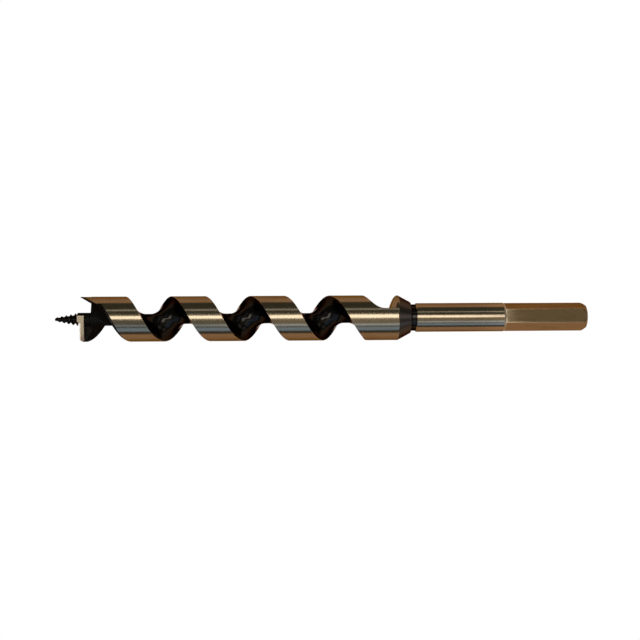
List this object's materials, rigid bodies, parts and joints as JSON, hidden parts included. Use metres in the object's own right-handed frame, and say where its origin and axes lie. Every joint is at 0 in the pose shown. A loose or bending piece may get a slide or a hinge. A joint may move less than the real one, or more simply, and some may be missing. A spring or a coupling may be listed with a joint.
{
  "type": "auger bit",
  "caption": "Auger bit for wood: a right-hand twist with a feed screw, a cutting lip and a spur in front, on a round shank with a hexagonal drive end.",
  "frame": {"origin": "middle of the end face of the hexagonal drive end, on the axis", "axes": "+X along the axis, out of the drive end, so that the feed screw points to -X; +Z is the side of the ground face of the cutting lip"},
  "size_m": [0.2354, 0.02, 0.02],
  "materials": {
    "twist_steel": "hardened steel, black in the flute and on the cone, with a ground and polished land",
    "lip_steel": "hard steel lip with a bright ground face",
    "screw_steel": "black hardened steel, lightly oiled",
    "shank_steel": "ground and polished steel with fine turning marks"
  },
  "bodies": {
    "root": {"twist": "twist_steel", "cutting_lip": "lip_steel", "feed_screw": "screw_steel", "shank": "shank_steel"}
  },
  "joints": []
}
